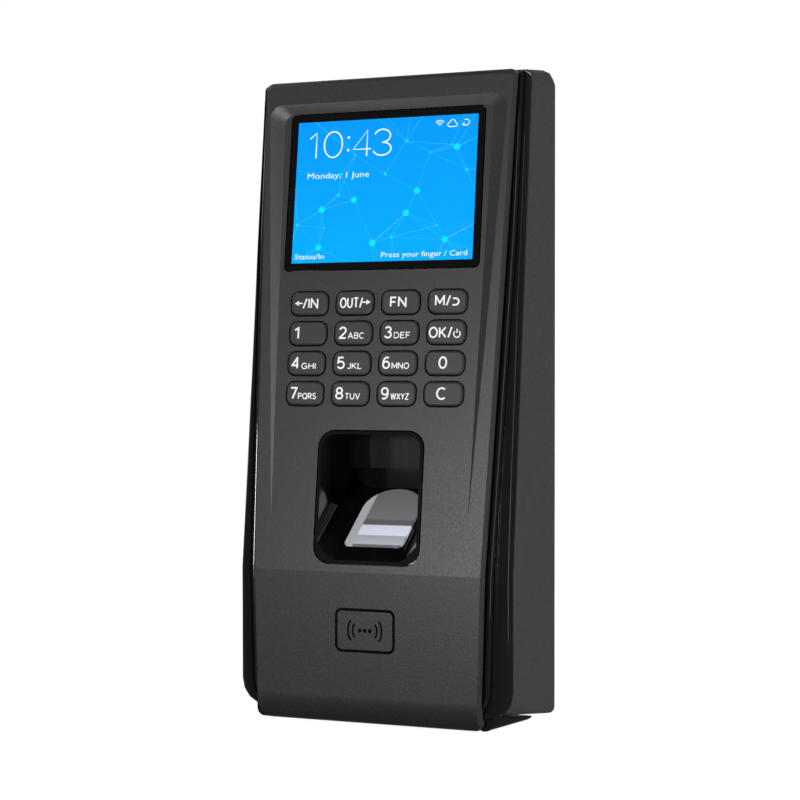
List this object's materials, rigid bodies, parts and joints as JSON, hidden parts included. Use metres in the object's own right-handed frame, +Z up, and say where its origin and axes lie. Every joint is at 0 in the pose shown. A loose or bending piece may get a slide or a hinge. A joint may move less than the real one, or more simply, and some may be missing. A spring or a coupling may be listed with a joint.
{
  "type": "fingerprint terminal",
  "caption": "Wall-mounted fingerprint and card terminal with a colour display, a numeric keypad and a recessed optical sensor.",
  "frame": {"origin": "on the wall face of the bracket, at the middle of the terminal's back", "axes": "+Z up, -Y out of the front face, +X to the right seen from the front, +Y into the wall"},
  "size_m": [0.078, 0.0321, 0.1644],
  "materials": {
    "cover_plastic": "fine grained matt, charcoal black",
    "housing_plastic": "fine grained matt, charcoal black",
    "gloss_plastic": "polished black",
    "key_plastic": "satin black with white legends",
    "inner_plastic": "moulded black",
    "display_glass": "clear lens with a printed black border",
    "sensor_glass": "polished optical glass",
    "panel_metal": "plain sheet",
    "plated_steel": "zinc plated",
    "circuit_board": "green solder mask",
    "terminal_plastic": "moulded green",
    "silicone_rubber": "soft matt"
  },
  "bodies": {
    "terminal": {"front_cover": "cover_plastic", "mid_frame": "gloss_plastic", "rear_housing": "housing_plastic", "display_window": "display_glass", "display_panel": "panel_metal", "keypad_mat": "silicone_rubber", "front_board": "circuit_board", "main_board": "circuit_board", "sensor_well": "gloss_plastic", "sensor_prism": "sensor_glass", "sensor_module": "inner_plastic", "card_antenna": "circuit_board", "socket_board": "circuit_board", "network_socket": "panel_metal", "power_terminal": "terminal_plastic", "signal_terminal": "terminal_plastic", "usb_socket": "panel_metal", "usb_board": "circuit_board", "tamper_switch": "inner_plastic", "speaker": "inner_plastic", "clock_battery": "plated_steel", "wall_bracket": "plated_steel", "lock_screw": "plated_steel", "board_screw_1": "plated_steel", "board_screw_2": "plated_steel", "board_screw_3": "plated_steel", "board_screw_4": "plated_steel", "housing_gasket": "silicone_rubber"},
    "key_in_cap": {"key_in": "key_plastic"},
    "key_out_cap": {"key_out": "key_plastic"},
    "key_fn_cap": {"key_fn": "key_plastic"},
    "key_menu_cap": {"key_menu": "key_plastic"},
    "key_1_cap": {"key_1": "key_plastic"},
    "key_2_cap": {"key_2": "key_plastic"},
    "key_3_cap": {"key_3": "key_plastic"},
    "key_ok_cap": {"key_ok": "key_plastic"},
    "key_4_cap": {"key_4": "key_plastic"},
    "key_5_cap": {"key_5": "key_plastic"},
    "key_6_cap": {"key_6": "key_plastic"},
    "key_0_cap": {"key_0": "key_plastic"},
    "key_7_cap": {"key_7": "key_plastic"},
    "key_8_cap": {"key_8": "key_plastic"},
    "key_9_cap": {"key_9": "key_plastic"},
    "key_clear_cap": {"key_clear": "key_plastic"},
    "plunger": {"tamper_plunger": "inner_plastic"}
  },
  "joints": [
    {"name": "key_in_press", "type": "slide", "parent": "terminal", "child": "key_in_cap", "axis": [0, 0.9916, -0.1296], "range_m": [0, 0.0008], "stiffness_N_per_m": 1000, "springref_m": -0.0003},
    {"name": "key_out_press", "type": "slide", "parent": "terminal", "child": "key_out_cap", "axis": [0, 0.9916, -0.1296], "range_m": [0, 0.0008], "stiffness_N_per_m": 1000, "springref_m": -0.0003},
    {"name": "key_fn_press", "type": "slide", "parent": "terminal", "child": "key_fn_cap", "axis": [0, 0.9916, -0.1296], "range_m": [0, 0.0008], "stiffness_N_per_m": 1000, "springref_m": -0.0003},
    {"name": "key_menu_press", "type": "slide", "parent": "terminal", "child": "key_menu_cap", "axis": [0, 0.9916, -0.1296], "range_m": [0, 0.0008], "stiffness_N_per_m": 1000, "springref_m": -0.0003},
    {"name": "key_1_press", "type": "slide", "parent": "terminal", "child": "key_1_cap", "axis": [0, 0.9916, -0.1296], "range_m": [0, 0.0008], "stiffness_N_per_m": 1000, "springref_m": -0.0003},
    {"name": "key_2_press", "type": "slide", "parent": "terminal", "child": "key_2_cap", "axis": [0, 0.9916, -0.1296], "range_m": [0, 0.0008], "stiffness_N_per_m": 1000, "springref_m": -0.0003},
    {"name": "key_3_press", "type": "slide", "parent": "terminal", "child": "key_3_cap", "axis": [0, 0.9916, -0.1296], "range_m": [0, 0.0008], "stiffness_N_per_m": 1000, "springref_m": -0.0003},
    {"name": "key_ok_press", "type": "slide", "parent": "terminal", "child": "key_ok_cap", "axis": [0, 0.9916, -0.1296], "range_m": [0, 0.0008], "stiffness_N_per_m": 1000, "springref_m": -0.0003},
    {"name": "key_4_press", "type": "slide", "parent": "terminal", "child": "key_4_cap", "axis": [0, 0.9916, -0.1296], "range_m": [0, 0.0008], "stiffness_N_per_m": 1000, "springref_m": -0.0003},
    {"name": "key_5_press", "type": "slide", "parent": "terminal", "child": "key_5_cap", "axis": [0, 0.9916, -0.1296], "range_m": [0, 0.0008], "stiffness_N_per_m": 1000, "springref_m": -0.0003},
    {"name": "key_6_press", "type": "slide", "parent": "terminal", "child": "key_6_cap", "axis": [0, 0.9916, -0.1296], "range_m": [0, 0.0008], "stiffness_N_per_m": 1000, "springref_m": -0.0003},
    {"name": "key_0_press", "type": "slide", "parent": "terminal", "child": "key_0_cap", "axis": [0, 0.9916, -0.1296], "range_m": [0, 0.0008], "stiffness_N_per_m": 1000, "springref_m": -0.0003},
    {"name": "key_7_press", "type": "slide", "parent": "terminal", "child": "key_7_cap", "axis": [0, 0.9916, -0.1296], "range_m": [0, 0.0008], "stiffness_N_per_m": 1000, "springref_m": -0.0003},
    {"name": "key_8_press", "type": "slide", "parent": "terminal", "child": "key_8_cap", "axis": [0, 0.9916, -0.1296], "range_m": [0, 0.0008], "stiffness_N_per_m": 1000, "springref_m": -0.0003},
    {"name": "key_9_press", "type": "slide", "parent": "terminal", "child": "key_9_cap", "axis": [0, 0.9916, -0.1296], "range_m": [0, 0.0008], "stiffness_N_per_m": 1000, "springref_m": -0.0003},
    {"name": "key_clear_press", "type": "slide", "parent": "terminal", "child": "key_clear_cap", "axis": [0, 0.9916, -0.1296], "range_m": [0, 0.0008], "stiffness_N_per_m": 1000, "springref_m": -0.0003},
    {"name": "tamper_plunger_press", "type": "slide", "parent": "terminal", "child": "plunger", "axis": [0, -1, 0], "range_m": [0, 0.0012], "stiffness_N_per_m": 400, "springref_m": -0.0006}
  ]
}
